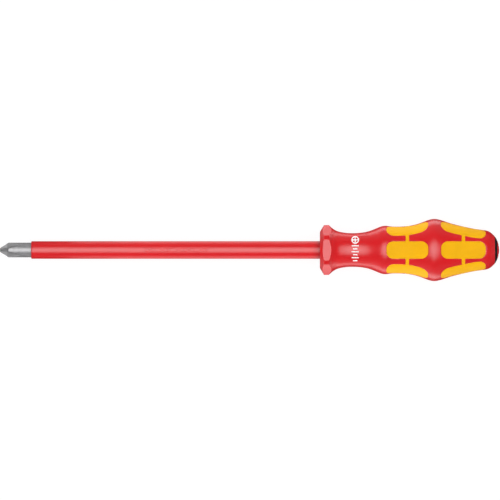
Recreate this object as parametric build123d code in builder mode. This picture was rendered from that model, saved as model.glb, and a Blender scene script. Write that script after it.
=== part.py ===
from build123d import *

import os
from math import cos, radians, sin, sqrt, tan

# Insulated screwdriver for cross-recess screws: steel blade in a moulded sleeve, and a handle with
# a hard core, a red body, yellow grip pads, a black ring and an end cap.
# X runs along the tool from the point of the tip, and one flat of the collar faces up, along +Z.
# All dimensions are in millimetres.

os.makedirs("parts", exist_ok=True)

# ---------------------------------------------------------------- driving dimensions

# Along the tool, from the point of the tip
blade_length = 200.0  # point of the tip to the front face of the handle
handle_length = 112.0

# Blade and its cross tip
blade_radius = 4.575
nose_radius = 1.0  # blunt end of the nose
nose_length = 1.0
cone_radius = 1.72  # where the nose meets the flanks of the wings
cone_end = 5.4
flute_count = 4
flute_roots = [(-1.0, 1.0), (4.6, 1.15), (15.0, 5.15)]  # station, distance of the root from the axis
flute_angle = 92.0  # included angle of the notch
flute_height = 10.0
flute_half_width = flute_height * tan(radians(flute_angle / 2))
blade_in_handle = 68.0
fin_length = 13.0
fin_span = 13.0
fin_thickness = 2.6
fin_centre = 52.0
blade_end_chamfer = 0.8

# Insulation sleeve
insulation_start = 19.6
insulation_radius = 5.5
insulation_front_round = 0.6
insulation_in_handle = 24.0
root_flare = 1.5  # length of the flare, from the face of the handle to the thicker root
root_radius = 6.1
groove_count = 3
groove_width = 1.2
groove_depth = 0.35
groove_pitch = 3.0

# Six-sided collar, and the flank that runs from it into the neck
sides = 6  # of the collar; there are as many columns of pads
collar_radius = 15.58
collar_flat = 14.15  # from the axis to a flat
face_radius = 11.3
collar_front = 2.5  # where the front chamfer would meet the rim
collar_back = 5.3  # end of the rim
collar_round = 0.5
face_round = 0.4
flank_points = [(6.0, 15.2), (6.6, 14.6), (7.7, 13.55)]  # rear flank of the collar
flank_end = (8.4, 12.4)  # inside the neck
neck_points = [(12.8, 11.27), (20.3, 10.51), (26.0, 10.83), (31.5, 12.05)]

# Neck and grip, turned to a smooth curve: distance behind the face, radius
grip_points = [
    (3.0, 13.6),
    (6.4, 14.05),
    (7.6, 13.66),
    (9.1, 12.66),
    (12.8, 11.27),
    (16.0, 10.72),
    (20.3, 10.51),
    (26.0, 10.83),
    (31.5, 12.05),
    (36.8, 14.20),
    (40.3, 15.12),
    (44.0, 14.78),
    (49.0, 14.60),
    (55.0, 15.02),
    (61.0, 16.30),
    (66.5, 18.30),
    (71.2, 19.42),
    (76.0, 18.55),
    (82.0, 16.60),
    (90.0, 14.62),
    (98.0, 13.02),
    (102.7, 12.40),
    (105.9, 11.42),
    (107.8, 10.0),
]

# Grip pads and the strips that join them
pad_width = 11.0
pad_corner = 4.3
front_pads = (41.5, 67.55)
rear_pads = (75.55, 103.5)
front_strip = 54.6
rear_strip = 89.4
strip_width = 2.15
pad_depth = 1.9

# Hard core
core_front = 13.0
core_back = 100.0
core_radius = 7.2
core_rib_tip = 9.4
core_rib_width = 2.4
core_ribs = (34.0, 96.0)
core_ring_stations = (44.0, 62.0, 80.0)
core_ring_width = 3.0

# End ring and end cap
end_dome_radius = 14.6
ring_front = 109.3
ring_back = 110.8
ring_spigot_radius = 6.4
ring_spigot_length = 5.3
cap_seat_depth = 0.9
cap_stem_radius = 3.6
cap_stem_length = 4.6
snap_bead = 0.3
snap_bead_width = 1.2
symbol_depth = 0.75  # from the top of the dome
symbol_radius = 3.6
symbol_length = 5.2
symbol_line = 1.3

# White mark on the neck: a cross in a ring, and ticks like those of a rule
mark_station = 22.0
mark_ring_offset = 6.3  # from the middle plane of the tool
mark_ring_radius = 2.4
mark_line = 0.7
tick_count = 6
tick_pitch = 1.85
first_tick = 2.6
long_tick = 4.4
short_tick = 2.8
mark_proud = 0.05
mark_depth = 0.25

# ---------------------------------------------------------------- shared helpers

handle_end = blade_length + handle_length
reach = 2 * collar_radius  # larger than any radius of the tool


def dome_radius(station):
    """Radius of the end dome at a distance behind the face of the handle."""
    return sqrt(end_dome_radius**2 - (station - handle_length + end_dome_radius) ** 2)


def make_grip(inset):
    """Neck and grip turned about the axis, with the surface moved in by a distance."""
    dome_points = [(station, dome_radius(station)) for station in (ring_front, ring_back)]
    curve = [(blade_length + station, radius - inset) for station, radius in grip_points + dome_points]
    with BuildPart() as grip:
        with BuildSketch(Plane.XY):
            with BuildLine():
                Spline(*curve)
                Polyline(curve[-1], (curve[-1][0], 0), (curve[0][0], 0), curve[0])
            make_face()
        revolve(axis=Axis.X)
        split(bisect_by=Plane.YZ.offset(blade_length + ring_front), keep=Keep.BOTTOM)
    return grip.part


def make_pad_blanks(span, strip):
    """Six pad blanks and the disc that joins them, from the axis out past the surface."""
    with BuildPart() as blanks:
        for index in range(sides):
            angle = radians(index * 360 / sides)
            with BuildSketch(Plane((0, 0, 0), x_dir=(1, 0, 0), z_dir=(0, sin(angle), cos(angle)))):
                with Locations((blade_length + sum(span) / 2, 0)):
                    RectangleRounded(span[1] - span[0], pad_width, pad_corner)
            extrude(amount=reach)
        with BuildSketch(Plane.YZ.offset(blade_length + strip - strip_width / 2)):
            Circle(reach)
        extrude(amount=strip_width)
    return blanks.part


def draw_snap_stem(front, back, radius):
    """Half outline of a stem with a snap bead round its front end, to be revolved."""
    bead_end = front + 2 * snap_bead_width
    Polyline(
        (front, 0),
        (front, radius - snap_bead),
        (front + snap_bead_width, radius + snap_bead),
        (bead_end, radius),
        (back, radius),
        (back, 0),
        close=True,
    )


# ---------------------------------------------------------------- blade

# notch of one flute, from ahead of the nose, through its foot, to past the run-out
with BuildPart() as flute_cutter:
    for station, root in flute_roots:
        with BuildSketch(Plane((station, 0, root), x_dir=(0, 1, 0), z_dir=(1, 0, 0))):
            with BuildLine():
                Polyline(
                    (0, 0),
                    (flute_half_width, flute_height),
                    (-flute_half_width, flute_height),
                    close=True,
                )
            make_face()
    loft(ruled=True)

with BuildPart() as blade:
    blade_end = blade_length + blade_in_handle
    with BuildSketch(Plane.XY):
        with BuildLine():
            Polyline(
                (0, 0),
                (0, nose_radius),
                (nose_length, cone_radius),
                (cone_end, blade_radius),
                (blade_end - blade_end_chamfer, blade_radius),
                (blade_end, blade_radius - blade_end_chamfer),
                (blade_end, 0),
                close=True,
            )
        make_face()
    revolve(axis=Axis.X)
    with Locations((blade_length + fin_centre, 0, 0)):
        Box(fin_length, fin_span, fin_thickness)
    for index in range(flute_count):
        angle = (index + 0.5) * 360 / flute_count
        add(flute_cutter.part, rotation=(angle, 0, 0), mode=Mode.SUBTRACT)

# ---------------------------------------------------------------- insulation sleeve

with BuildPart() as sleeve_blank:
    insulation_end = blade_length + insulation_in_handle
    front_edge = insulation_start + insulation_front_round
    front_round_foot = (insulation_start, insulation_radius - insulation_front_round)
    with BuildSketch(Plane.XY):
        with BuildLine():
            Line((insulation_start, 0), front_round_foot)
            RadiusArc(front_round_foot, (front_edge, insulation_radius), insulation_front_round)
            Polyline(
                (front_edge, insulation_radius),
                (blade_length, insulation_radius),
                (blade_length + root_flare, root_radius),
                (insulation_end, root_radius),
                (insulation_end, 0),
                (insulation_start, 0),
            )
        make_face()
        # grip grooves round the end that the handle holds
        for index in range(groove_count):
            groove = insulation_end - (index + 1) * groove_pitch
            with Locations((groove, root_radius)):
                Rectangle(groove_width, 2 * groove_depth, mode=Mode.SUBTRACT)
    revolve(axis=Axis.X)

with BuildPart() as blade_insulation:
    add(sleeve_blank.part)
    add(blade.part, mode=Mode.SUBTRACT)

# ---------------------------------------------------------------- hard core of the handle

with BuildPart() as core_blank:
    with BuildSketch(Plane.YZ.offset(blade_length + core_front)):
        Circle(core_radius)
    extrude(amount=core_back - core_front)
    # ribs that carry the torque into the body, one under each column of pads
    with BuildSketch(Plane.YZ.offset(blade_length + core_ribs[0])):
        with PolarLocations(core_rib_tip / 2, sides, start_angle=90):
            Rectangle(core_rib_tip, core_rib_width)
    extrude(amount=core_ribs[1] - core_ribs[0])
    # rings that hold the body lengthwise
    for station in core_ring_stations:
        with BuildSketch(Plane.YZ.offset(blade_length + station - core_ring_width / 2)):
            Circle(core_rib_tip)
        extrude(amount=core_ring_width)

with BuildPart() as handle_core:
    add(core_blank.part)
    add(sleeve_blank.part, mode=Mode.SUBTRACT)
    add(blade.part, mode=Mode.SUBTRACT)

# ---------------------------------------------------------------- end ring and end cap

# flat recess in the cap, round a raised cross that shows the kind of tip
with BuildPart() as end_symbol:
    with BuildSketch(Plane.YZ.offset(handle_end - symbol_depth)):
        Circle(symbol_radius)
        Rectangle(symbol_length, symbol_line, mode=Mode.SUBTRACT)
        Rectangle(symbol_line, symbol_length, mode=Mode.SUBTRACT)
    extrude(amount=2 * symbol_depth)

with BuildPart() as end_cap:
    seat = blade_length + ring_back - cap_seat_depth
    with BuildSketch(Plane.XY):
        with BuildLine():
            draw_snap_stem(seat - cap_stem_length, seat, cap_stem_radius)
        make_face()
        with BuildLine():
            Polyline((handle_end, 0), (seat, 0), (seat, dome_radius(ring_back)))
            Line((seat, dome_radius(ring_back)), (blade_length + ring_back, dome_radius(ring_back)))
            RadiusArc((blade_length + ring_back, dome_radius(ring_back)), (handle_end, 0), end_dome_radius)
        make_face()
    revolve(axis=Axis.X)
    add(end_symbol.part, mode=Mode.SUBTRACT)

with BuildPart() as end_ring:
    front = blade_length + ring_front
    back = blade_length + ring_back
    with BuildSketch(Plane.XY):
        with BuildLine():
            draw_snap_stem(front - ring_spigot_length, front, ring_spigot_radius)
        make_face()
        with BuildLine():
            Line((front, 0), (front, dome_radius(ring_front)))
            RadiusArc((front, dome_radius(ring_front)), (back, dome_radius(ring_back)), end_dome_radius)
            Polyline((back, dome_radius(ring_back)), (back, 0), (front, 0))
        make_face()
    revolve(axis=Axis.X)
    # bore for the stem of the cap, open at the front
    with BuildSketch(Plane.YZ.offset(front - ring_spigot_length)):
        Circle(cap_stem_radius)
    extrude(amount=ring_spigot_length, mode=Mode.SUBTRACT)
    add(end_cap.part, mode=Mode.SUBTRACT)

# ---------------------------------------------------------------- white mark on the neck

with BuildPart() as neck_print:
    mark_centre = blade_length + mark_station
    with BuildSketch(Plane.XY):
        with Locations((mark_centre, mark_ring_offset)):
            Circle(mark_ring_radius)
            Circle(mark_ring_radius - mark_line, mode=Mode.SUBTRACT)
            Rectangle(2 * mark_ring_radius - mark_line, mark_line)
            Rectangle(mark_line, 2 * mark_ring_radius - mark_line)
        for index in range(tick_count):
            tick_length = short_tick if index % 2 else long_tick
            with Locations((mark_centre, first_tick - index * tick_pitch)):
                Rectangle(tick_length, mark_line)
    extrude(amount=reach)
    # keep the layer that lies at the surface of the neck
    with BuildSketch(Plane.XY):
        for offset_out, mode in ((mark_proud, Mode.ADD), (-mark_depth, Mode.SUBTRACT)):
            with BuildLine():
                curve = [(blade_length + station, radius + offset_out) for station, radius in neck_points]
                Spline(*curve)
                Polyline(curve[-1], (curve[-1][0], 0), (curve[0][0], 0), curve[0])
            make_face(mode=mode)
    revolve(axis=Axis.X, mode=Mode.INTERSECT)

# ---------------------------------------------------------------- outside of the handle

with BuildPart() as handle_outline:
    # round collar, its rear flank running into the neck
    with BuildSketch(Plane.XY):
        with BuildLine():
            flank = [(blade_length + station, radius) for station, radius in flank_points + [flank_end]]
            flank_slope = (flank[-1][0] - flank[-2][0], flank[-1][1] - flank[-2][1])
            rim_end = (blade_length + collar_back, collar_radius)
            FilletPolyline(
                (blade_length, 0),
                (blade_length, face_radius),
                (blade_length + collar_front, collar_radius),
                rim_end,
                radius=(face_round, collar_round),
            )
            Spline(rim_end, *flank, tangents=((1, 0), flank_slope))
            Polyline(flank[-1], (flank[-1][0], 0), (blade_length, 0))
        make_face()
    revolve(axis=Axis.X)
    # six flats round the collar
    with BuildSketch(Plane.YZ.offset(blade_length)):
        RegularPolygon(collar_flat, sides, major_radius=False)
    extrude(amount=flank_end[0], mode=Mode.INTERSECT)
    add(make_grip(0))

pad_floor = make_grip(pad_depth)

with BuildPart() as front_grip_pads:
    add(make_pad_blanks(front_pads, front_strip))
    add(handle_outline.part, mode=Mode.INTERSECT)
    add(pad_floor, mode=Mode.SUBTRACT)

with BuildPart() as rear_grip_pads:
    add(make_pad_blanks(rear_pads, rear_strip))
    add(handle_outline.part, mode=Mode.INTERSECT)
    add(pad_floor, mode=Mode.SUBTRACT)

# ---------------------------------------------------------------- red body of the handle

with BuildPart() as handle_shell:
    add(handle_outline.part)
    for inner in (sleeve_blank, core_blank, front_grip_pads, rear_grip_pads, end_ring, end_cap, neck_print):
        add(inner.part, mode=Mode.SUBTRACT)

# ---------------------------------------------------------------- hand over the pieces

pieces = {
    "blade": blade,
    "blade_insulation": blade_insulation,
    "handle_core": handle_core,
    "handle_shell": handle_shell,
    "front_grip_pads": front_grip_pads,
    "rear_grip_pads": rear_grip_pads,
    "end_ring": end_ring,
    "end_cap": end_cap,
    "neck_print": neck_print,
}
for name, piece in pieces.items():
    piece.part.label = name
    export_step(piece.part, f"parts/{name}.step")
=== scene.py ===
import math

import bmesh
import bpy
import numpy as np
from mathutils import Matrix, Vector
from mathutils.bvhtree import BVHTree


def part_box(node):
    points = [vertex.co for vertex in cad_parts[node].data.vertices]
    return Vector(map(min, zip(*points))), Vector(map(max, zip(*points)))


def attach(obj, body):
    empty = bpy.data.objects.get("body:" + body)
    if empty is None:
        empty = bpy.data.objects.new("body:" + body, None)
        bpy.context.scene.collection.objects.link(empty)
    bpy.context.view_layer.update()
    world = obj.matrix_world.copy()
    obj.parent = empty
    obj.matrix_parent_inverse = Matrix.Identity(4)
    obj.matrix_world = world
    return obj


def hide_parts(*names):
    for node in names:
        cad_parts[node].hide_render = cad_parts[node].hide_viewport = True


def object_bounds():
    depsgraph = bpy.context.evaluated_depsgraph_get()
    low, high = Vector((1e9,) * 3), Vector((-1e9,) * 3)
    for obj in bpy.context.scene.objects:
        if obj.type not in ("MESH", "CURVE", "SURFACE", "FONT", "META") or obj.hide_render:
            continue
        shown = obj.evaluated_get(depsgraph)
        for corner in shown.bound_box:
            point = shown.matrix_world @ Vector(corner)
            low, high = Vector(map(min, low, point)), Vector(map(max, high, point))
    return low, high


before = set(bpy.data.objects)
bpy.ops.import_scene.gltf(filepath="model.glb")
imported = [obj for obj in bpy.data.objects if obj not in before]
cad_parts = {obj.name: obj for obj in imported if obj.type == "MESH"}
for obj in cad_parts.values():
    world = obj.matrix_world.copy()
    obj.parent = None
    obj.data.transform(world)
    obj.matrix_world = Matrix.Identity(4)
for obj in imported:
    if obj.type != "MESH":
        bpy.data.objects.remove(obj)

# Looks of the insulated screwdriver, in metres. The tool lies along X with its tip at the origin.
# The skins follow radii read from the CAD solids, so they keep their size and place.
# An angle goes round the X axis from +Z, where a flat of the collar faces, towards +Y.

MM = 0.001
TURN = 2 * math.pi
CAD_LOW, CAD_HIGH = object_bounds()
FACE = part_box("handle_shell")[0].x  # front face of the handle
SHELL_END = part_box("handle_shell")[1].x
TOOL_END = CAD_HIGH.x
SIDES = 6
CORNER = TURN / SIDES / 2
ASIDE = 0.1  # a direction off the planes of symmetry, for solids that are turned
END_GAP = 0.02 * MM  # rays are cast this far inside a solid's end faces
BODY = "root"


# ---------------------------------------------------------------- radii of the CAD solids


def search_tree(*names):
    """Search tree over the CAD solids with these names."""
    points, faces = [], []
    for name in names:
        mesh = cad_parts[name].data
        first = len(points)
        points += [vertex.co.copy() for vertex in mesh.vertices]
        faces += [[first + index for index in face.vertices] for face in mesh.polygons]
    return BVHTree.FromPolygons(points, faces)


def radius_at(tree, x, angle):
    """Radius of the outermost surface in a direction from the axis, or 0 where there is none."""
    reach = 0.1
    out = Vector((0, math.sin(angle), math.cos(angle)))
    distance = tree.ray_cast(Vector((x, 0, 0)) + out * reach, -out)[3]
    return 0.0 if distance is None or distance > reach else reach - distance


def radii_at(tree, stations, angles):
    return np.array([[radius_at(tree, x, angle) for angle in angles] for x in stations])


OUTSIDE = search_tree("handle_shell", "front_grip_pads", "rear_grip_pads")
INSIDE = search_tree("handle_core", "blade_insulation", "end_ring", "end_cap")


def spline_basis(x, low, high, pieces):
    """Uniform cubic B-spline basis: one row for each x, one column for each control value."""
    place = (np.asarray(x) - low) / (high - low) * pieces
    piece = np.clip(np.floor(place).astype(int), 0, pieces - 1)
    u = place - piece
    weights = ((1 - u) ** 3, 3 * u**3 - 6 * u**2 + 4, -3 * u**3 + 3 * u**2 + 3 * u + 1, u**3)
    basis = np.zeros((len(u), pieces + 3))
    for index, weight in enumerate(weights):
        basis[np.arange(len(u)), piece + index] = weight / 6
    return basis


class Handle:
    """Radius of the outside of the handle: a six-sided collar, then the turned neck and grip."""

    collar_end = 8.0 * MM  # behind the face, where the smooth fit takes over
    fade = 1.5 * MM
    facet_edge = 0.10 * MM  # softening of the edges of the collar's flats
    pieces = 36
    quarters = [index * TURN / 4 for index in range(4)]

    def __init__(self):
        low, high = FACE + self.collar_end, SHELL_END
        samples = np.linspace(low, high - 0.02 * MM, 220)
        basis = spline_basis(samples, low, high, self.pieces)
        # the CAD mesh has small facets, and the least of four directions stays inside its box
        radii = radii_at(OUTSIDE, samples, self.quarters).min(axis=1)
        self.controls = np.linalg.lstsq(basis, radii, rcond=None)[0]
        self.low, self.high = low, high
        self.collar_x = np.linspace(FACE + 0.01 * MM, low + 2 * self.fade, 160)
        rim = radii_at(OUTSIDE, self.collar_x, (3 * CORNER,))[:, 0]
        self.collar_r = np.convolve(np.pad(rim, 1, mode="edge"), (0.25, 0.5, 0.25), "valid")
        self.flat = radius_at(OUTSIDE, FACE + 4 * MM, 0.0)

    def collar(self, x):
        return np.interp(x, self.collar_x, self.collar_r)

    def flat_depth(self, x, angle):
        """How far the collar's flat cuts below its round rim."""
        local = (angle + CORNER) % (2 * CORNER) - CORNER
        return self.collar(x) - self.flat / np.cos(local)

    def grip(self, x):
        """Radius of the turned neck and grip."""
        inside = np.clip(x, self.low, self.high)
        return spline_basis(inside, self.low, self.high, self.pieces) @ self.controls

    def radius(self, x, angle):
        x, angle = np.broadcast_arrays(np.asarray(x, float), np.asarray(angle, float))
        depth = self.flat_depth(x, angle)
        soft = np.clip(0.5 + depth / (2 * self.facet_edge), 0, 1)
        collar = self.collar(x) - depth * soft - self.facet_edge * soft * (1 - soft)
        blend = np.clip((x - self.low) / self.fade, 0, 1)
        return collar * (1 - blend) + self.grip(x) * blend


HANDLE = Handle()


# ---------------------------------------------------------------- mesh helpers


def place(x, radius, angle):
    x, radius, angle = np.broadcast_arrays(x, radius, angle)
    return np.stack([x, radius * np.sin(angle), radius * np.cos(angle)], axis=-1)


class Skin:
    """Collects the points and faces of one piece."""

    def __init__(self, angles=()):
        self.angles = np.asarray(angles, float)
        self.points = []
        self.faces = []

    def add_points(self, points):
        first = len(self.points)
        self.points += [tuple(point) for point in points]
        return list(range(first, len(self.points)))

    def ring(self, x, radius):
        return self.add_points(place(x, radius, self.angles))

    def join(self, one, two):
        count = len(one)
        for index in range(count):
            following = (index + 1) % count
            self.faces.append((one[index], one[following], two[following], two[index]))

    def run(self, rings):
        for one, two in zip(rings, rings[1:]):
            self.join(one, two)

    def close(self, ring, x):
        pole = self.add_points([(x, 0.0, 0.0)])[0]
        count = len(ring)
        for index in range(count):
            self.faces.append((ring[index], ring[(index + 1) % count], pole))

    def piece(self, name, material, sharp_angle=38.0):
        mesh = bpy.data.meshes.new(name)
        mesh.from_pydata(self.points, [], self.faces)
        work = bmesh.new()
        work.from_mesh(mesh)
        loose = [vertex for vertex in work.verts if not vertex.link_faces]
        bmesh.ops.delete(work, geom=loose, context="VERTS")
        bmesh.ops.recalc_face_normals(work, faces=work.faces)
        work.to_mesh(mesh)
        work.free()
        mesh.polygons.foreach_set("use_smooth", [True] * len(mesh.polygons))
        mesh.set_sharp_from_angle(angle=math.radians(sharp_angle))
        piece = bpy.data.objects.new(name, mesh)
        bpy.context.scene.collection.objects.link(piece)
        piece.data.materials.append(material)
        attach(piece, BODY)
        return piece


class Sheet:
    """Triangles over stations and angles, which can be cut along the level lines of a field."""

    snap = 0.01 * MM

    def __init__(self, stations, angles, closed=True):
        rows, columns = len(stations), len(angles)
        self.columns, self.rows = columns, rows
        self.points = [(x, angle) for x in stations for angle in angles]
        self.triangles = []
        for row in range(rows - 1):
            for column in range(columns if closed else columns - 1):
                near = row * columns + column
                beside = row * columns + (column + 1) % columns
                self.triangles.append((near, beside + columns, beside))
                self.triangles.append((near, near + columns, beside + columns))
        self.inside = [False] * len(self.triangles)

    def values(self, field):
        x, angle = np.array(self.points).T
        return field(x, angle)

    def cut(self, field, level=0.0, tag=False):
        """Split the triangles where the field passes the level; tag those that lie below it."""
        values = self.values(field) - level
        values[np.abs(values) < self.snap] = 0.0
        corners = np.array(self.triangles)
        signs = np.sign(values)[corners]
        crossed = (signs.max(axis=1) > 0) & (signs.min(axis=1) < 0)
        middle = {}

        def crossing(one, two):
            key = (min(one, two), max(one, two))
            if key not in middle:
                share = values[one] / (values[one] - values[two])
                (x1, a1), (x2, a2) = self.points[one], self.points[two]
                turn = (a2 - a1 + math.pi) % TURN - math.pi
                middle[key] = len(self.points)
                self.points.append((x1 + share * (x2 - x1), a1 + share * turn))
            return middle[key]

        triangles, inside = [], []
        for index, triangle in enumerate(self.triangles):
            sign = signs[index]
            if not crossed[index]:
                triangles.append(triangle)
                inside.append(bool(sign.sum() < 0) if tag else self.inside[index])
                continue
            if 0 in sign:
                first = int(np.where(sign == 0)[0][0])
            else:
                first = int(np.where(sign == -np.sign(sign.sum()))[0][0])
            a, b, c = (triangle[(first + step) % 3] for step in range(3))
            if 0 in sign:
                cut = crossing(b, c)
                parts = [((a, b, cut), values[b]), ((a, cut, c), values[c])]
            else:
                one, two = crossing(a, b), crossing(a, c)
                parts = [((a, one, two), values[a]), ((one, b, c), values[b]), ((one, c, two), values[b])]
            for part, value in parts:
                triangles.append(part)
                inside.append(bool(value < 0) if tag else self.inside[index])
        self.triangles, self.inside = triangles, inside

    def region(self, inside):
        """Triangles in or out of the tagged region, their points, and the edges round them."""
        triangles = [t for t, flag in zip(self.triangles, self.inside) if flag == inside]
        used = sorted({index for triangle in triangles for index in triangle})
        edges = {}
        for a, b, c in triangles:
            for edge in ((a, b), (b, c), (c, a)):
                edges[edge] = edges.get(edge, 0) + 1
        border = [edge for edge in edges if (edge[1], edge[0]) not in edges]
        return triangles, used, border


def edge_drop(distance, width, depth):
    """Depth of a rounded edge at a distance inside it."""
    near = np.clip(1 - distance / width, 0, 1)
    return depth * (1 - np.sqrt(1 - near**2))


def rounded_box(x, y, half_length, half_width, corner):
    """Signed distance to a rounded rectangle about the origin."""
    dx = np.abs(x) - half_length + corner
    dy = np.abs(y) - half_width + corner
    outside = np.hypot(np.maximum(dx, 0), np.maximum(dy, 0))
    return outside + np.minimum(np.maximum(dx, dy), 0) - corner


def soft_union(one, two, radius):
    """Union of two signed distances with a fillet where they meet."""
    near = np.maximum(radius - np.abs(one - two), 0) / radius
    return np.minimum(one, two) - near**2 * radius / 4


# ---------------------------------------------------------------- materials


class Finish:
    """One procedural material, built up from noise, bumps and worn edges."""

    def __init__(self, name):
        self.material = bpy.data.materials.new(name)
        self.material.use_nodes = True
        self.tree = self.material.node_tree
        self.shader = self.tree.nodes["Principled BSDF"]
        self.space = self.tree.nodes.new("ShaderNodeTexCoord").outputs["Object"]
        self.normal = None

    def link(self, source, target):
        self.tree.links.new(source, target)

    def set(self, **values):
        for name, value in values.items():
            self.shader.inputs[name.replace("_", " ")].default_value = value

    def stretched(self, scale):
        """Coordinates scaled along X, Y and Z by given factors."""
        mapping = self.tree.nodes.new("ShaderNodeMapping")
        mapping.inputs["Scale"].default_value = scale
        self.link(self.space, mapping.inputs["Vector"])
        return mapping.outputs["Vector"]

    def noise(self, size, detail=3.0, rough=0.5, stretch=None):
        """Noise whose blotches are about as wide as a size in metres."""
        node = self.tree.nodes.new("ShaderNodeTexNoise")
        node.inputs["Scale"].default_value = 1 / size
        node.inputs["Detail"].default_value = detail
        node.inputs["Roughness"].default_value = rough
        self.link(self.stretched(stretch) if stretch else self.space, node.inputs["Vector"])
        return node.outputs["Fac"]

    def cells(self, size):
        node = self.tree.nodes.new("ShaderNodeTexVoronoi")
        node.feature = "SMOOTH_F1"
        node.inputs["Scale"].default_value = 1 / size
        self.link(self.space, node.inputs["Vector"])
        return node.outputs["Distance"]

    def mapped(self, value, low, high, to_low, to_high):
        node = self.tree.nodes.new("ShaderNodeMapRange")
        for name, number in (("From Min", low), ("From Max", high), ("To Min", to_low), ("To Max", to_high)):
            node.inputs[name].default_value = number
        self.link(value, node.inputs["Value"])
        return node.outputs["Result"]

    def mixed(self, factor, one, two):
        """Colour that goes from one to two; each is a colour or a socket."""
        node = self.tree.nodes.new("ShaderNodeMix")
        node.data_type = "RGBA"
        self.link(factor, node.inputs["Factor"])
        for socket, value in (("A_Color", one), ("B_Color", two)):
            target = next(entry for entry in node.inputs if entry.identifier == socket)
            if isinstance(value, tuple):
                target.default_value = (*value, 1.0)
            else:
                self.link(value, target)
        return next(entry for entry in node.outputs if entry.identifier == "Result_Color")

    def maths(self, operation, one, two):
        """Math node of two values; each is a number or a socket."""
        node = self.tree.nodes.new("ShaderNodeMath")
        node.operation = operation
        for target, value in zip(node.inputs, (one, two)):
            if isinstance(value, float):
                target.default_value = value
            else:
                self.link(value, target)
        return node.outputs["Value"]

    def bump(self, height, depth):
        """Adds a bump whose full height is a depth in metres."""
        node = self.tree.nodes.new("ShaderNodeBump")
        node.inputs["Strength"].default_value = 1.0
        node.inputs["Distance"].default_value = depth
        self.link(height, node.inputs["Height"])
        if self.normal is not None:
            self.link(self.normal, node.inputs["Normal"])
        self.normal = node.outputs["Normal"]

    def edges(self, low, high):
        """Near 1 on outer edges of the mesh, 0 on its flats and hollows."""
        node = self.tree.nodes.new("ShaderNodeNewGeometry")
        return self.mapped(node.outputs["Pointiness"], low, high, 0.0, 1.0)

    def station(self, low, high, to_low, to_high):
        """A value that follows the distance along the tool."""
        split = self.tree.nodes.new("ShaderNodeSeparateXYZ")
        self.link(self.space, split.inputs["Vector"])
        return self.mapped(split.outputs["X"], low, high, to_low, to_high)

    def from_axis(self, low, high, to_low, to_high):
        """A value that follows the distance from the tool's axis."""
        length = self.tree.nodes.new("ShaderNodeVectorMath")
        length.operation = "LENGTH"
        self.link(self.stretched((0, 1, 1)), length.inputs[0])
        return self.mapped(length.outputs["Value"], low, high, to_low, to_high)

    def done(self):
        if self.normal is not None:
            self.link(self.normal, self.shader.inputs["Normal"])
        return self.material


def shaded(colour, factor):
    return tuple(channel * factor for channel in colour)


RED = (0.675, 0.0095, 0.014)
RED_WORN = (0.80, 0.08, 0.08)
# painted shade colour for the sleeve just ahead of the collar
RED_JOINT_SHADE = (0.30, 0.010, 0.013)
YELLOW = (0.89, 0.452, 0.004)
YELLOW_GRIME = (0.80, 0.36, 0.012)
BLACK = (0.010, 0.012, 0.012)
STEEL_DARK, STEEL_LIGHT = (0.30, 0.297, 0.304), (0.36, 0.357, 0.364)
STEEL_LINES = (0.28, 0.278, 0.285)
# the next two are painted shade: a darker grey for the flutes and the nose, and near black for the hollows
STEEL_MILLED_SHADE = (0.235, 0.233, 0.238)
STEEL_HOLLOW_SHADE = (0.06, 0.06, 0.062)
STEEL_WORN = (0.50, 0.50, 0.51)
CORE_DARK, CORE_LIGHT = (0.66, 0.62, 0.50), (0.76, 0.72, 0.60)
INK, INK_THIN = (0.93, 0.92, 0.92), (0.90, 0.62, 0.62)


def moulded_red(name, roughness=0.31, waves=0.006 * MM, flow=None, joint=None):
    """Semi-gloss red plastic; flow stretches it along the tool, and painted shade darkens it ahead of a
    joint.
    """
    finish = Finish(name)
    finish.set(IOR=1.65)
    clouds = finish.noise(14 * MM, detail=2.0, stretch=flow)
    colour = finish.mixed(finish.mapped(clouds, 0.3, 0.7, 0, 1), shaded(RED, 0.965), shaded(RED, 1.035))
    worn = finish.edges(0.53, 0.60)
    colour = finish.mixed(finish.mapped(worn, 0, 1, 0, 0.30), colour, RED_WORN)
    if joint is not None:
        # painted shade: the red darkens over the last 7 mm before the joint, where shade falls beside the
        # collar
        grime_and_shade = finish.maths("POWER", finish.station(joint - 7 * MM, joint - 0.5 * MM, 0, 1), 2.0)
        colour = finish.mixed(finish.mapped(grime_and_shade, 0, 1, 0, 0.6), colour, RED_JOINT_SHADE)
    finish.link(colour, finish.shader.inputs["Base Color"])
    smudges = finish.noise(5 * MM, detail=4.0, rough=0.6)
    gloss = finish.mapped(smudges, 0.25, 0.75, roughness - 0.02, roughness + 0.03)
    finish.link(gloss, finish.shader.inputs["Roughness"])
    finish.bump(finish.noise(3.5 * MM, detail=1.0, stretch=flow), waves)
    finish.bump(finish.noise(0.25 * MM, detail=2.0), 0.004 * MM)
    return finish.done()


def soft_yellow(name):
    """Matte soft plastic with a fine pebbled grain."""
    finish = Finish(name)
    finish.set(IOR=1.22)
    clouds = finish.noise(9 * MM, detail=3.0)
    colour = finish.mixed(finish.mapped(clouds, 0.3, 0.7, 0, 1), shaded(YELLOW, 0.96), shaded(YELLOW, 1.03))
    grime_and_shade = finish.noise(0.7 * MM, detail=3.0)
    colour = finish.mixed(finish.mapped(grime_and_shade, 0.55, 0.80, 0, 0.14), colour, YELLOW_GRIME)
    finish.link(colour, finish.shader.inputs["Base Color"])
    gloss = finish.mapped(finish.noise(2.5 * MM, detail=4.0), 0.25, 0.75, 0.56, 0.70)
    finish.link(gloss, finish.shader.inputs["Roughness"])
    finish.bump(finish.cells(0.34 * MM), 0.018 * MM)
    finish.bump(finish.noise(0.12 * MM, detail=2.0), 0.008 * MM)
    return finish.done()


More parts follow.
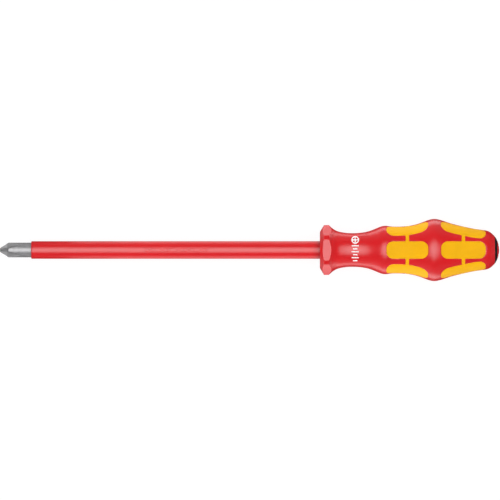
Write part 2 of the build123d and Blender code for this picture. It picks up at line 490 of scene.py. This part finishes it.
def satin_black(name):
    """Black plastic with a dull sheen."""
    finish = Finish(name)
    finish.set(IOR=1.5, Specular_IOR_Level=0.25)
    clouds = finish.noise(2 * MM, detail=3.0)
    colour = finish.mixed(finish.mapped(clouds, 0.3, 0.7, 0, 1), BLACK, shaded(BLACK, 1.8))
    finish.link(colour, finish.shader.inputs["Base Color"])
    finish.link(finish.mapped(clouds, 0.25, 0.75, 0.36, 0.48), finish.shader.inputs["Roughness"])
    finish.bump(finish.noise(0.2 * MM, detail=2.0), 0.006 * MM)
    return finish.done()


def blasted_steel(name):
    """Grey steel with drawn lines, duller in the milled flutes and on the nose; painted shade darkens the
    flutes, the nose and the hollows.
    """
    finish = Finish(name)
    blotches = finish.noise(1.6 * MM, detail=4.0)
    colour = finish.mixed(finish.mapped(blotches, 0.3, 0.7, 0, 1), STEEL_DARK, STEEL_LIGHT)
    lines = finish.noise(0.16 * MM, detail=2.0, stretch=(0.06, 1, 1))
    colour = finish.mixed(finish.mapped(lines, 0.45, 0.75, 0, 0.35), colour, STEEL_LINES)
    # painted shade: the flutes and the nose get a darker grey, on top of their rougher, less metallic milled
    # finish
    flutes = finish.from_axis(3.9 * MM, 4.5 * MM, 1, 0)
    nose = finish.station(5.2 * MM, 5.8 * MM, 1, 0)
    milled_and_shaded = finish.maths("MAXIMUM", flutes, nose)
    colour = finish.mixed(milled_and_shaded, colour, STEEL_MILLED_SHADE)
    # painted shade: hollows where the flute walls meet are darkened towards near black
    hollow_shade = finish.edges(0.495, 0.44)
    colour = finish.mixed(finish.mapped(hollow_shade, 0, 1, 0, 0.85), colour, STEEL_HOLLOW_SHADE)
    worn = finish.edges(0.52, 0.60)
    colour = finish.mixed(finish.mapped(worn, 0, 1, 0, 0.3), colour, STEEL_WORN)
    finish.link(colour, finish.shader.inputs["Base Color"])
    finish.link(finish.mapped(milled_and_shaded, 0, 1, 0.28, 0.20), finish.shader.inputs["Metallic"])
    gloss = finish.mapped(blotches, 0.25, 0.75, 0.21, 0.27)
    gloss = finish.maths("ADD", gloss, finish.mapped(milled_and_shaded, 0, 1, 0, 0.20))
    finish.link(gloss, finish.shader.inputs["Roughness"])
    finish.bump(finish.noise(0.11 * MM, detail=3.0), 0.010 * MM)
    finish.bump(lines, 0.006 * MM)
    return finish.done()


def natural_core(name):
    """Uncoloured hard plastic."""
    finish = Finish(name)
    clouds = finish.noise(6 * MM, detail=3.0)
    colour = finish.mixed(finish.mapped(clouds, 0.3, 0.7, 0, 1), CORE_DARK, CORE_LIGHT)
    finish.link(colour, finish.shader.inputs["Base Color"])
    finish.link(finish.mapped(clouds, 0.25, 0.75, 0.45, 0.6), finish.shader.inputs["Roughness"])
    finish.bump(finish.noise(0.5 * MM, detail=2.0), 0.02 * MM)
    return finish.done()


def white_ink(name):
    """White ink, thin enough in places for the red to show."""
    finish = Finish(name)
    thin = finish.noise(0.35 * MM, detail=3.0)
    colour = finish.mixed(finish.mapped(thin, 0.60, 0.85, 0, 0.5), INK, INK_THIN)
    finish.link(colour, finish.shader.inputs["Base Color"])
    finish.link(finish.mapped(thin, 0.25, 0.75, 0.42, 0.58), finish.shader.inputs["Roughness"])
    finish.bump(thin, 0.006 * MM)
    return finish.done()


BODY_RED = moulded_red("body_red")
SLEEVE_RED = moulded_red("sleeve_red", waves=0.0006 * MM, flow=(0.25, 1, 1), joint=FACE)
CAP_RED = moulded_red("cap_red", roughness=0.32)
PAD_YELLOW = soft_yellow("pad_yellow")


# ---------------------------------------------------------------- blade


def rows_between(*spans):
    """Stations over spans of (start, end, step), without repeats."""
    rows = []
    for start, end, step in spans:
        count = max(1, round((end - start) / step))
        rows += list(np.linspace(start, end, count + 1)[:-1])
    return rows + [spans[-1][1]]


def softened(grid, passes):
    """Rounds the sharp edges of a grid of radii, closed in angle."""
    for _ in range(passes):
        grid = (np.roll(grid, 1, axis=1) + 2 * grid + np.roll(grid, -1, axis=1)) / 4
        inner = (grid[:-2] + 2 * grid[1:-1] + grid[2:]) / 4
        grid = np.concatenate([grid[:1], inner, grid[-1:]])
    return grid


def make_blade():
    tree = search_tree("blade")
    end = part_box("blade")[1].x
    tip_end = 16 * MM  # past the run-out of the flutes
    fins = FACE + 44 * MM  # start of the finer rows, ahead of the swaged fins
    angles = np.linspace(0, TURN, 360, endpoint=False)
    fine = rows_between((END_GAP, tip_end, 0.1 * MM))
    coarse = rows_between((tip_end, fins, 8 * MM), (fins, end - END_GAP, 0.5 * MM))[1:]
    tip = softened(radii_at(tree, fine, angles), 2)
    rest = radii_at(tree, coarse, angles)
    skin = Skin(angles)
    rings = [skin.ring(x, radii) for x, radii in zip(fine + coarse, [*tip, *rest])]
    skin.run(rings)
    skin.close(rings[0], 0.0)
    skin.close(rings[-1], end)
    piece = skin.piece("blade_skin", blasted_steel("blade_steel"), sharp_angle=60.0)
    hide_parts("blade")


# ---------------------------------------------------------------- insulation sleeve


RELIEF = (90.0 * MM, 132.0 * MM)  # stretch of the sleeve that carries the low bars and dots
RELIEF_PATTERN = (0.9, 0.35, 0.9, 1.5, 0.35, 0.6, 0.6, 1.9, 0.35, 0.9)  # half lengths in mm
RELIEF_HEIGHT = 0.10 * MM


def relief_marks():
    """Low bars and dots down the sleeve: (station, half length, half height) of each."""
    marks = []
    margin = 1 * MM
    dot, bar, gap = 0.35 * MM, 1.05 * MM, 0.75 * MM
    x = RELIEF[0] + margin
    while x < RELIEF[1] - 2 * margin:
        half = RELIEF_PATTERN[len(marks) % len(RELIEF_PATTERN)] * MM
        marks.append((x + half, half, dot if half < 0.4 * MM else bar))
        x += 2 * half + gap
    return marks


def make_sleeve():
    low, high = (corner.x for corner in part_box("blade_insulation"))
    tree = search_tree("blade_insulation")
    round_edge = 0.6 * MM
    round_steps = 8
    bore = radius_at(search_tree("blade"), low + 1 * MM, ASIDE)
    outer = radius_at(tree, (low + FACE) / 2, ASIDE)
    marked = math.radians(26)  # half of the turn that carries the relief
    dense = np.linspace(-marked, marked, 70)
    wide = np.linspace(marked, TURN - marked, 62)[1:-1]
    angles = np.concatenate([dense, wide])
    marks = relief_marks()
    skin = Skin(angles)

    def relief(x):
        side = outer * np.sin(angles)
        field = np.full(len(angles), 1.0)
        for station, half, height in marks:
            if abs(x - station) < half + 1 * MM:
                corner = min(half, height) * 0.6
                field = np.minimum(field, rounded_box(x - station, side, half, height, corner))
        rise = np.clip(0.5 - field / (0.22 * MM), 0, 1)
        facing = np.cos(angles) > 0
        return RELIEF_HEIGHT * rise * rise * (3 - 2 * rise) * facing

    rings = [skin.ring(low, bore), skin.ring(low, outer - round_edge)]
    for step in range(1, round_steps + 1):
        turn = step / round_steps * math.pi / 2
        x = low + round_edge * (1 - math.cos(turn))
        rings.append(skin.ring(x, outer - round_edge * (1 - math.sin(turn))))
    stations = rows_between(
        (low + 2 * round_edge, RELIEF[0], 10 * MM),
        (*RELIEF, 0.16 * MM),
        (RELIEF[1], FACE, 10 * MM),
    )
    rings += [skin.ring(x, outer + relief(x)) for x in stations]
    for x in rows_between((FACE + 0.1 * MM, high - 0.01 * MM, 0.25 * MM)):
        rings.append(skin.ring(x, radius_at(tree, x, ASIDE)))
    rings.append(skin.ring(high, bore))
    skin.run(rings + rings[:1])
    piece = skin.piece("insulation_sleeve", SLEEVE_RED)
    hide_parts("blade_insulation")


# ---------------------------------------------------------------- handle body and grip pads


class PadField:
    """Signed distance to the outline of the grip pads and the strips that join them."""

    corner = 4.3 * MM
    strip = 1.08 * MM  # half width
    fillet = 0.15 * MM
    half_width = 5.5 * MM

    def __init__(self):
        self.spans = []
        for name in ("front_grip_pads", "rear_grip_pads"):
            low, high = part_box(name)
            self.spans.append((low.x, high.x))

    def __call__(self, x, angle):
        radius = HANDLE.radius(x, angle)
        local = (angle + CORNER) % (2 * CORNER) - CORNER
        across = radius * np.sin(local)
        field = np.full(np.shape(x), 1.0)
        for low, high in self.spans:
            middle = (low + high) / 2
            pad = rounded_box(x - middle, across, (high - low) / 2, self.half_width, self.corner)
            field = np.minimum(field, soft_union(pad, np.abs(x - middle) - self.strip, self.fillet))
        return field


PADS = PadField()
PAD_DEPTH = 1.9 * MM
POCKET_EDGE = (0.28 * MM, 0.13 * MM)  # width and depth of the rounding
PAD_EDGE = (0.45 * MM, 0.22 * MM)
COLLAR_END = FACE + 9 * MM  # behind the collar's flank


def collar_flats(x, angle):
    """How far the collar's flats cut in, and clearly outside them behind the collar."""
    return np.where(x < COLLAR_END, HANDLE.flat_depth(x, angle), -1.0)


def handle_sheet():
    """Skin of the handle, cut along the pads and along levels on both sides of their outlines."""
    stations = rows_between(
        (FACE, COLLAR_END, 0.2 * MM),
        (COLLAR_END, FACE + 41 * MM, 0.8 * MM),
        (FACE + 41 * MM, FACE + 104 * MM, 0.6 * MM),
        (FACE + 104 * MM, SHELL_END, 0.4 * MM),
    )
    angles = np.linspace(0, TURN, 240, endpoint=False)
    sheet = Sheet(stations, angles)
    sheet.cut(PADS, 0.0, tag=True)
    for level in (0.04, 0.13, 0.3):
        sheet.cut(PADS, level * MM)
        sheet.cut(PADS, -level * MM)
    sheet.cut(collar_flats, HANDLE.facet_edge)
    sheet.cut(collar_flats, -HANDLE.facet_edge)
    return sheet, angles


def make_handle():
    sheet, angles = handle_sheet()
    x, angle = np.array(sheet.points).T
    surface = HANDLE.radius(x, angle)
    field = PADS(x, angle)
    floor = place(x, surface - PAD_DEPTH, angle)

    # red body: skin round the pads, pocket walls and floors, end faces and cavities
    skin = Skin(angles)
    triangles, used, border = sheet.region(False)
    top = place(x, surface - edge_drop(np.maximum(field, 0), *POCKET_EDGE), angle)
    at = dict(zip(used, skin.add_points(top[used])))
    skin.faces += [tuple(at[i] for i in triangle) for triangle in triangles]
    pocket, pocket_used, pocket_border = sheet.region(True)
    low_at = dict(zip(pocket_used, skin.add_points(floor[pocket_used])))
    skin.faces += [tuple(low_at[i] for i in triangle) for triangle in pocket]
    for one, two in pocket_border:
        skin.faces.append((at[one], at[two], low_at[two], low_at[one]))
    columns = sheet.columns
    front = [at[index] for index in range(columns)]
    rear = [at[(sheet.rows - 1) * columns + index] for index in range(columns)]
    core_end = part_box("handle_core")[1].x
    spigot_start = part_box("end_ring")[0].x
    cavities = (
        (front, FACE, (FACE + END_GAP, core_end - END_GAP, 1.2 * MM), core_end),
        (rear, SHELL_END, (SHELL_END - END_GAP, spigot_start + END_GAP, 0.4 * MM), spigot_start),
    )
    for outline, mouth, span, bottom in cavities:
        stations = rows_between(span)
        places = [mouth, *stations[1:]]
        rings = [skin.ring(at_x, radii_at(INSIDE, [x_in], angles)[0]) for at_x, x_in in zip(places, stations)]
        skin.run([outline, *rings])
        skin.close(rings[-1], bottom)
    body = skin.piece("handle_body", BODY_RED)
    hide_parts("handle_shell")

    # yellow pads: tops that follow the surface, with rounded edges, on the same outlines
    pad_top = place(x, surface - edge_drop(np.maximum(-field, 0), *PAD_EDGE), angle)
    names = (("grip_pads_front", "front_grip_pads"), ("grip_pads_rear", "rear_grip_pads"))
    for (name, node), (low, high) in zip(names, PADS.spans):
        low, high = low - 1 * MM, high + 1 * MM
        mine = [triangle for triangle in pocket if low < x[triangle[0]] < high]
        mine_used = sorted({index for triangle in mine for index in triangle})
        mine_border = [edge for edge in pocket_border if low < x[edge[0]] < high]
        pad = Skin()
        up = dict(zip(mine_used, pad.add_points(pad_top[mine_used])))
        down = dict(zip(mine_used, pad.add_points(floor[mine_used])))
        pad.faces += [tuple(up[i] for i in triangle) for triangle in mine]
        pad.faces += [tuple(down[i] for i in reversed(triangle)) for triangle in mine]
        for one, two in mine_border:
            pad.faces.append((up[two], up[one], down[one], down[two]))
        piece = pad.piece(name, PAD_YELLOW)
        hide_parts(node)


# ---------------------------------------------------------------- end ring and end cap


def make_end():
    ring_low, ring_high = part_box("end_ring")
    cap_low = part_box("end_cap")[0].x
    band = SHELL_END
    outer = ring_high.z
    seat = ring_high.x
    dome = (outer**2 + (TOOL_END - band) ** 2) / (2 * (TOOL_END - band))
    ring_tree = search_tree("end_ring")
    cap_tree = search_tree("end_cap")
    angles = np.linspace(0, TURN, 180, endpoint=False)

    def dome_radius(x):
        return math.sqrt(max(dome**2 - (x - TOOL_END + dome) ** 2, 0))

    # black ring: spigot, rounded band, bore
    margin = 0.01 * MM  # from the end faces
    edge = 0.10 * MM
    bore = 3.6 * MM  # of the ring, ahead of the cap's stem
    skin = Skin(angles)
    stations = rows_between((ring_low.x + margin, band - margin, 0.3 * MM))
    rings = [skin.ring(x, radius_at(ring_tree, x, ASIDE)) for x in stations]
    rings.append(skin.ring(band, dome_radius(band) - edge))
    for x in rows_between((band + edge, seat - edge, 0.15 * MM)):
        rings.append(skin.ring(x, dome_radius(x)))
    cap_radius = dome_radius(seat)
    rings.append(skin.ring(seat, cap_radius - END_GAP))
    for x in rows_between((seat - END_GAP, ring_low.x + margin, 0.3 * MM)):
        rings.append(skin.ring(x, radius_at(cap_tree, x, ASIDE) if x > cap_low else bore))
    skin.run(rings + rings[:1])
    ring = skin.piece("black_end_ring", satin_black("ring_black"))
    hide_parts("end_ring")

    # red cap: stem, domed head with a recess round a raised cross
    recess, arm, half_line = 3.6 * MM, 2.6 * MM, 0.65 * MM
    cross_corner = 0.2 * MM
    wall = 0.16 * MM  # width of the slope from the cap's surface to the recess's floor
    floor = TOOL_END - 0.75 * MM
    skin = Skin(angles)
    stations = rows_between((cap_low + margin, seat - 0.05 * MM, 0.2 * MM))
    rings = [skin.ring(x, radius_at(cap_tree, x, ASIDE)) for x in stations]
    skin.close(rings[0], cap_low)
    for radius in np.linspace(cap_radius - 0.06 * MM, 0.08 * MM, 56):
        y, z = radius * np.sin(angles), radius * np.cos(angles)
        cross = np.minimum(
            rounded_box(y, z, arm, half_line, cross_corner),
            rounded_box(z, y, arm, half_line, cross_corner),
        )
        field = np.maximum(radius - recess, -cross)
        share = np.clip(0.5 - field / wall, 0, 1)
        share = share * share * (3 - 2 * share)
        height = TOOL_END - dome + math.sqrt(dome**2 - radius**2)
        x = height * (1 - share) + np.minimum(floor, height) * share
        rings.append(skin.ring(x, radius))
    skin.run(rings)
    skin.close(rings[-1], TOOL_END)
    cap = skin.piece("red_end_cap", CAP_RED)
    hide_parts("end_cap")


# ---------------------------------------------------------------- printed mark on the neck


def make_print():
    low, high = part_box("neck_print")
    middle = (low.x + high.x) / 2
    ring_radius, line = 2.4 * MM, 0.7 * MM
    ring_offset = high.y - ring_radius
    ticks, pitch, first = 6, 1.85 * MM, 2.6 * MM
    long_tick, short_tick, tick_corner = 2.2 * MM, 1.4 * MM, 0.15 * MM  # half lengths, and rounding
    proud, sunk = 0.045 * MM, 0.03 * MM

    def mark(x, angle):
        across = x - middle
        up = HANDLE.radius(x, angle) * np.sin(angle)
        above = up - ring_offset
        ring = np.abs(np.hypot(across, above) - ring_radius + line / 2) - line / 2
        arm = ring_radius - line / 2
        field = np.minimum(ring, rounded_box(across, above, arm, line / 2, 0.0))
        field = np.minimum(field, rounded_box(above, across, arm, line / 2, 0.0))
        for index in range(ticks):
            half = short_tick if index % 2 else long_tick
            tick = rounded_box(across, up - first + index * pitch, half, line / 2, tick_corner)
            field = np.minimum(field, tick)
        return field

    spread = math.radians(62)
    margin = 0.4 * MM
    stations = rows_between((low.x - margin, high.x + margin, 0.14 * MM))
    sheet = Sheet(stations, np.linspace(-spread, spread, 170), closed=False)
    sheet.snap = 0.004 * MM
    sheet.cut(mark, 0.0, tag=True)
    triangles, used, border = sheet.region(True)
    x, angle = np.array(sheet.points).T
    surface = HANDLE.radius(x, angle)
    skin = Skin()
    up = dict(zip(used, skin.add_points(place(x, surface + proud, angle)[used])))
    down = dict(zip(used, skin.add_points(place(x, surface - sunk, angle)[used])))
    skin.faces += [tuple(up[i] for i in triangle) for triangle in triangles]
    skin.faces += [tuple(down[i] for i in reversed(triangle)) for triangle in triangles]
    for one, two in border:
        skin.faces.append((up[two], up[one], down[one], down[two]))
    piece = skin.piece("neck_mark", white_ink("print_white"))
    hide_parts("neck_print")


def dress_core():
    """The core stays as CAD made it, in its own plastic."""
    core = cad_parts["handle_core"]
    core.data.materials.clear()
    core.data.materials.append(natural_core("core_plastic"))


# ---------------------------------------------------------------- floor, light and camera


PICTURE_WIDTH = 312.25 / 312.0  # of the tool's length
PICTURE_LEFT = 0.19 * MM  # station at the left edge of the picture
PICTURE_LEVEL = 6 * MM  # height of the plane that fills the picture, between outline and pads
LENS, SENSOR = 1500.0, 36.0
FLOOR_HALF = 30.0
FLOOR_DARK, FLOOR_LIGHT = (0.115, 0.115, 0.115), (0.125, 0.125, 0.125)
FLOOR_GLOW = 0.90
SOFTBOXES = (  # height, size, brightness
    ("softbox", 1.5, 2.1, 2.28),
    ("softbox_core", 1.45, 0.95, 1.5),
)
WHOLE_RUN = (45 * MM, TOOL_END - 20 * MM)
SLEEVE_RUN = (70 * MM, FACE - 6 * MM)
STRIPS = (  # stations, reach across the table, brightness
    ("strip_left", WHOLE_RUN, (40 * MM, 85 * MM), 1.9),
    ("strip_right", WHOLE_RUN, (-46 * MM, -140 * MM), 2.0),
    ("sleeve_strip_left", SLEEVE_RUN, (18 * MM, 40 * MM), 0.5),
    ("sleeve_strip_right", SLEEVE_RUN, (-18 * MM, -40 * MM), 0.5),
)
STRIP_LIFT = 0.5 * MM  # above the table
FILL_DISTANCE = 1.3
FILL_HEIGHT = 0.27
SIDE_FILL = ((2.2, 0.5), 1.85)  # size, brightness
END_FILL = ((1.2, 0.6), 1.3)


def make_floor():
    """Table whose even glow keeps it pale, so that the tool throws hardly any shadow on it."""
    half = FLOOR_HALF
    corners = [(-half, -half, 0), (half, -half, 0), (half, half, 0), (-half, half, 0)]
    mesh = bpy.data.meshes.new("floor")
    mesh.from_pydata(corners, [], [(0, 1, 2, 3)])
    floor = bpy.data.objects.new("floor", mesh)
    floor.location = (TOOL_END / 2, 0, CAD_LOW.z)
    floor.visible_glossy = False
    bpy.context.scene.collection.objects.link(floor)
    finish = Finish("floor_white")
    tint = finish.mixed(finish.noise(0.6, detail=2.0), FLOOR_DARK, FLOOR_LIGHT)
    finish.link(tint, finish.shader.inputs["Base Color"])
    finish.shader.inputs["Roughness"].default_value = 0.9
    finish.shader.inputs["Emission Color"].default_value = (1.0, 1.0, 1.0, 1.0)
    finish.shader.inputs["Emission Strength"].default_value = FLOOR_GLOW
    floor.data.materials.append(finish.done())


def area_light(name, location, aim, size, brightness, shape="RECTANGLE", glossy=True):
    """Area light of an even brightness, where 1 is the brightness of white."""
    data = bpy.data.lights.new(name, "AREA")
    data.shape = shape
    data.size, data.size_y = size
    area = size[0] * size[1] * (math.pi / 4 if shape == "ELLIPSE" else 1)
    data.energy = brightness * math.pi * area
    light = bpy.data.objects.new(name, data)
    light.location = location
    light.rotation_mode = "QUATERNION"
    light.rotation_quaternion = (Vector(aim) - Vector(location)).to_track_quat("-Z", "Y")
    light.visible_camera = False
    light.visible_glossy = glossy
    bpy.context.scene.collection.objects.link(light)


def make_light():
    world = bpy.data.worlds.new("studio")
    bpy.context.scene.world = world
    world.use_nodes = True
    world.node_tree.nodes["Background"].inputs["Color"].default_value = (1.0, 1.0, 1.0, 1.0)
    world.cycles_visibility.diffuse = False
    world.cycles_visibility.glossy = False
    middle = TOOL_END / 2
    for name, height, size, brightness in SOFTBOXES:
        area_light(name, (middle, 0, height), (middle, 0, 0), (size, size), brightness, "ELLIPSE")
    table = CAD_LOW.z + STRIP_LIFT
    for name, (low, high), (near, far), brightness in STRIPS:
        spot = ((low + high) / 2, (near + far) / 2, table)
        area_light(name, spot, (spot[0], spot[1], 1), (high - low, abs(far - near)), brightness)
    fills = (
        ("fill_right", 0, -1, SIDE_FILL),
        ("fill_left", 0, 1, SIDE_FILL),
        ("fill_front", -1, 0, END_FILL),
        ("fill_rear", 1, 0, END_FILL),
    )
    for name, along, across, (size, brightness) in fills:
        spot = (middle + along * FILL_DISTANCE, across * FILL_DISTANCE, FILL_HEIGHT)
        area_light(name, spot, (middle, 0, 0), size, brightness, glossy=False)


def make_camera():
    """Camera straight above the tool, as far off as a long lens needs."""
    width = TOOL_END * PICTURE_WIDTH
    data = bpy.data.cameras.new("camera")
    data.lens, data.sensor_width = LENS, SENSOR
    distance = width * LENS / SENSOR
    data.clip_start, data.clip_end = 0.1, 4 * distance
    camera = bpy.data.objects.new("camera", data)
    camera.location = (width / 2 + PICTURE_LEFT, 0, distance + PICTURE_LEVEL)
    bpy.context.scene.collection.objects.link(camera)
    bpy.context.scene.camera = camera


bpy.context.scene.view_settings.view_transform = "Standard"
make_blade()
make_sleeve()
make_handle()
make_end()
make_print()
dress_core()
make_floor()
make_light()
make_camera()

bpy.context.view_layer.update()
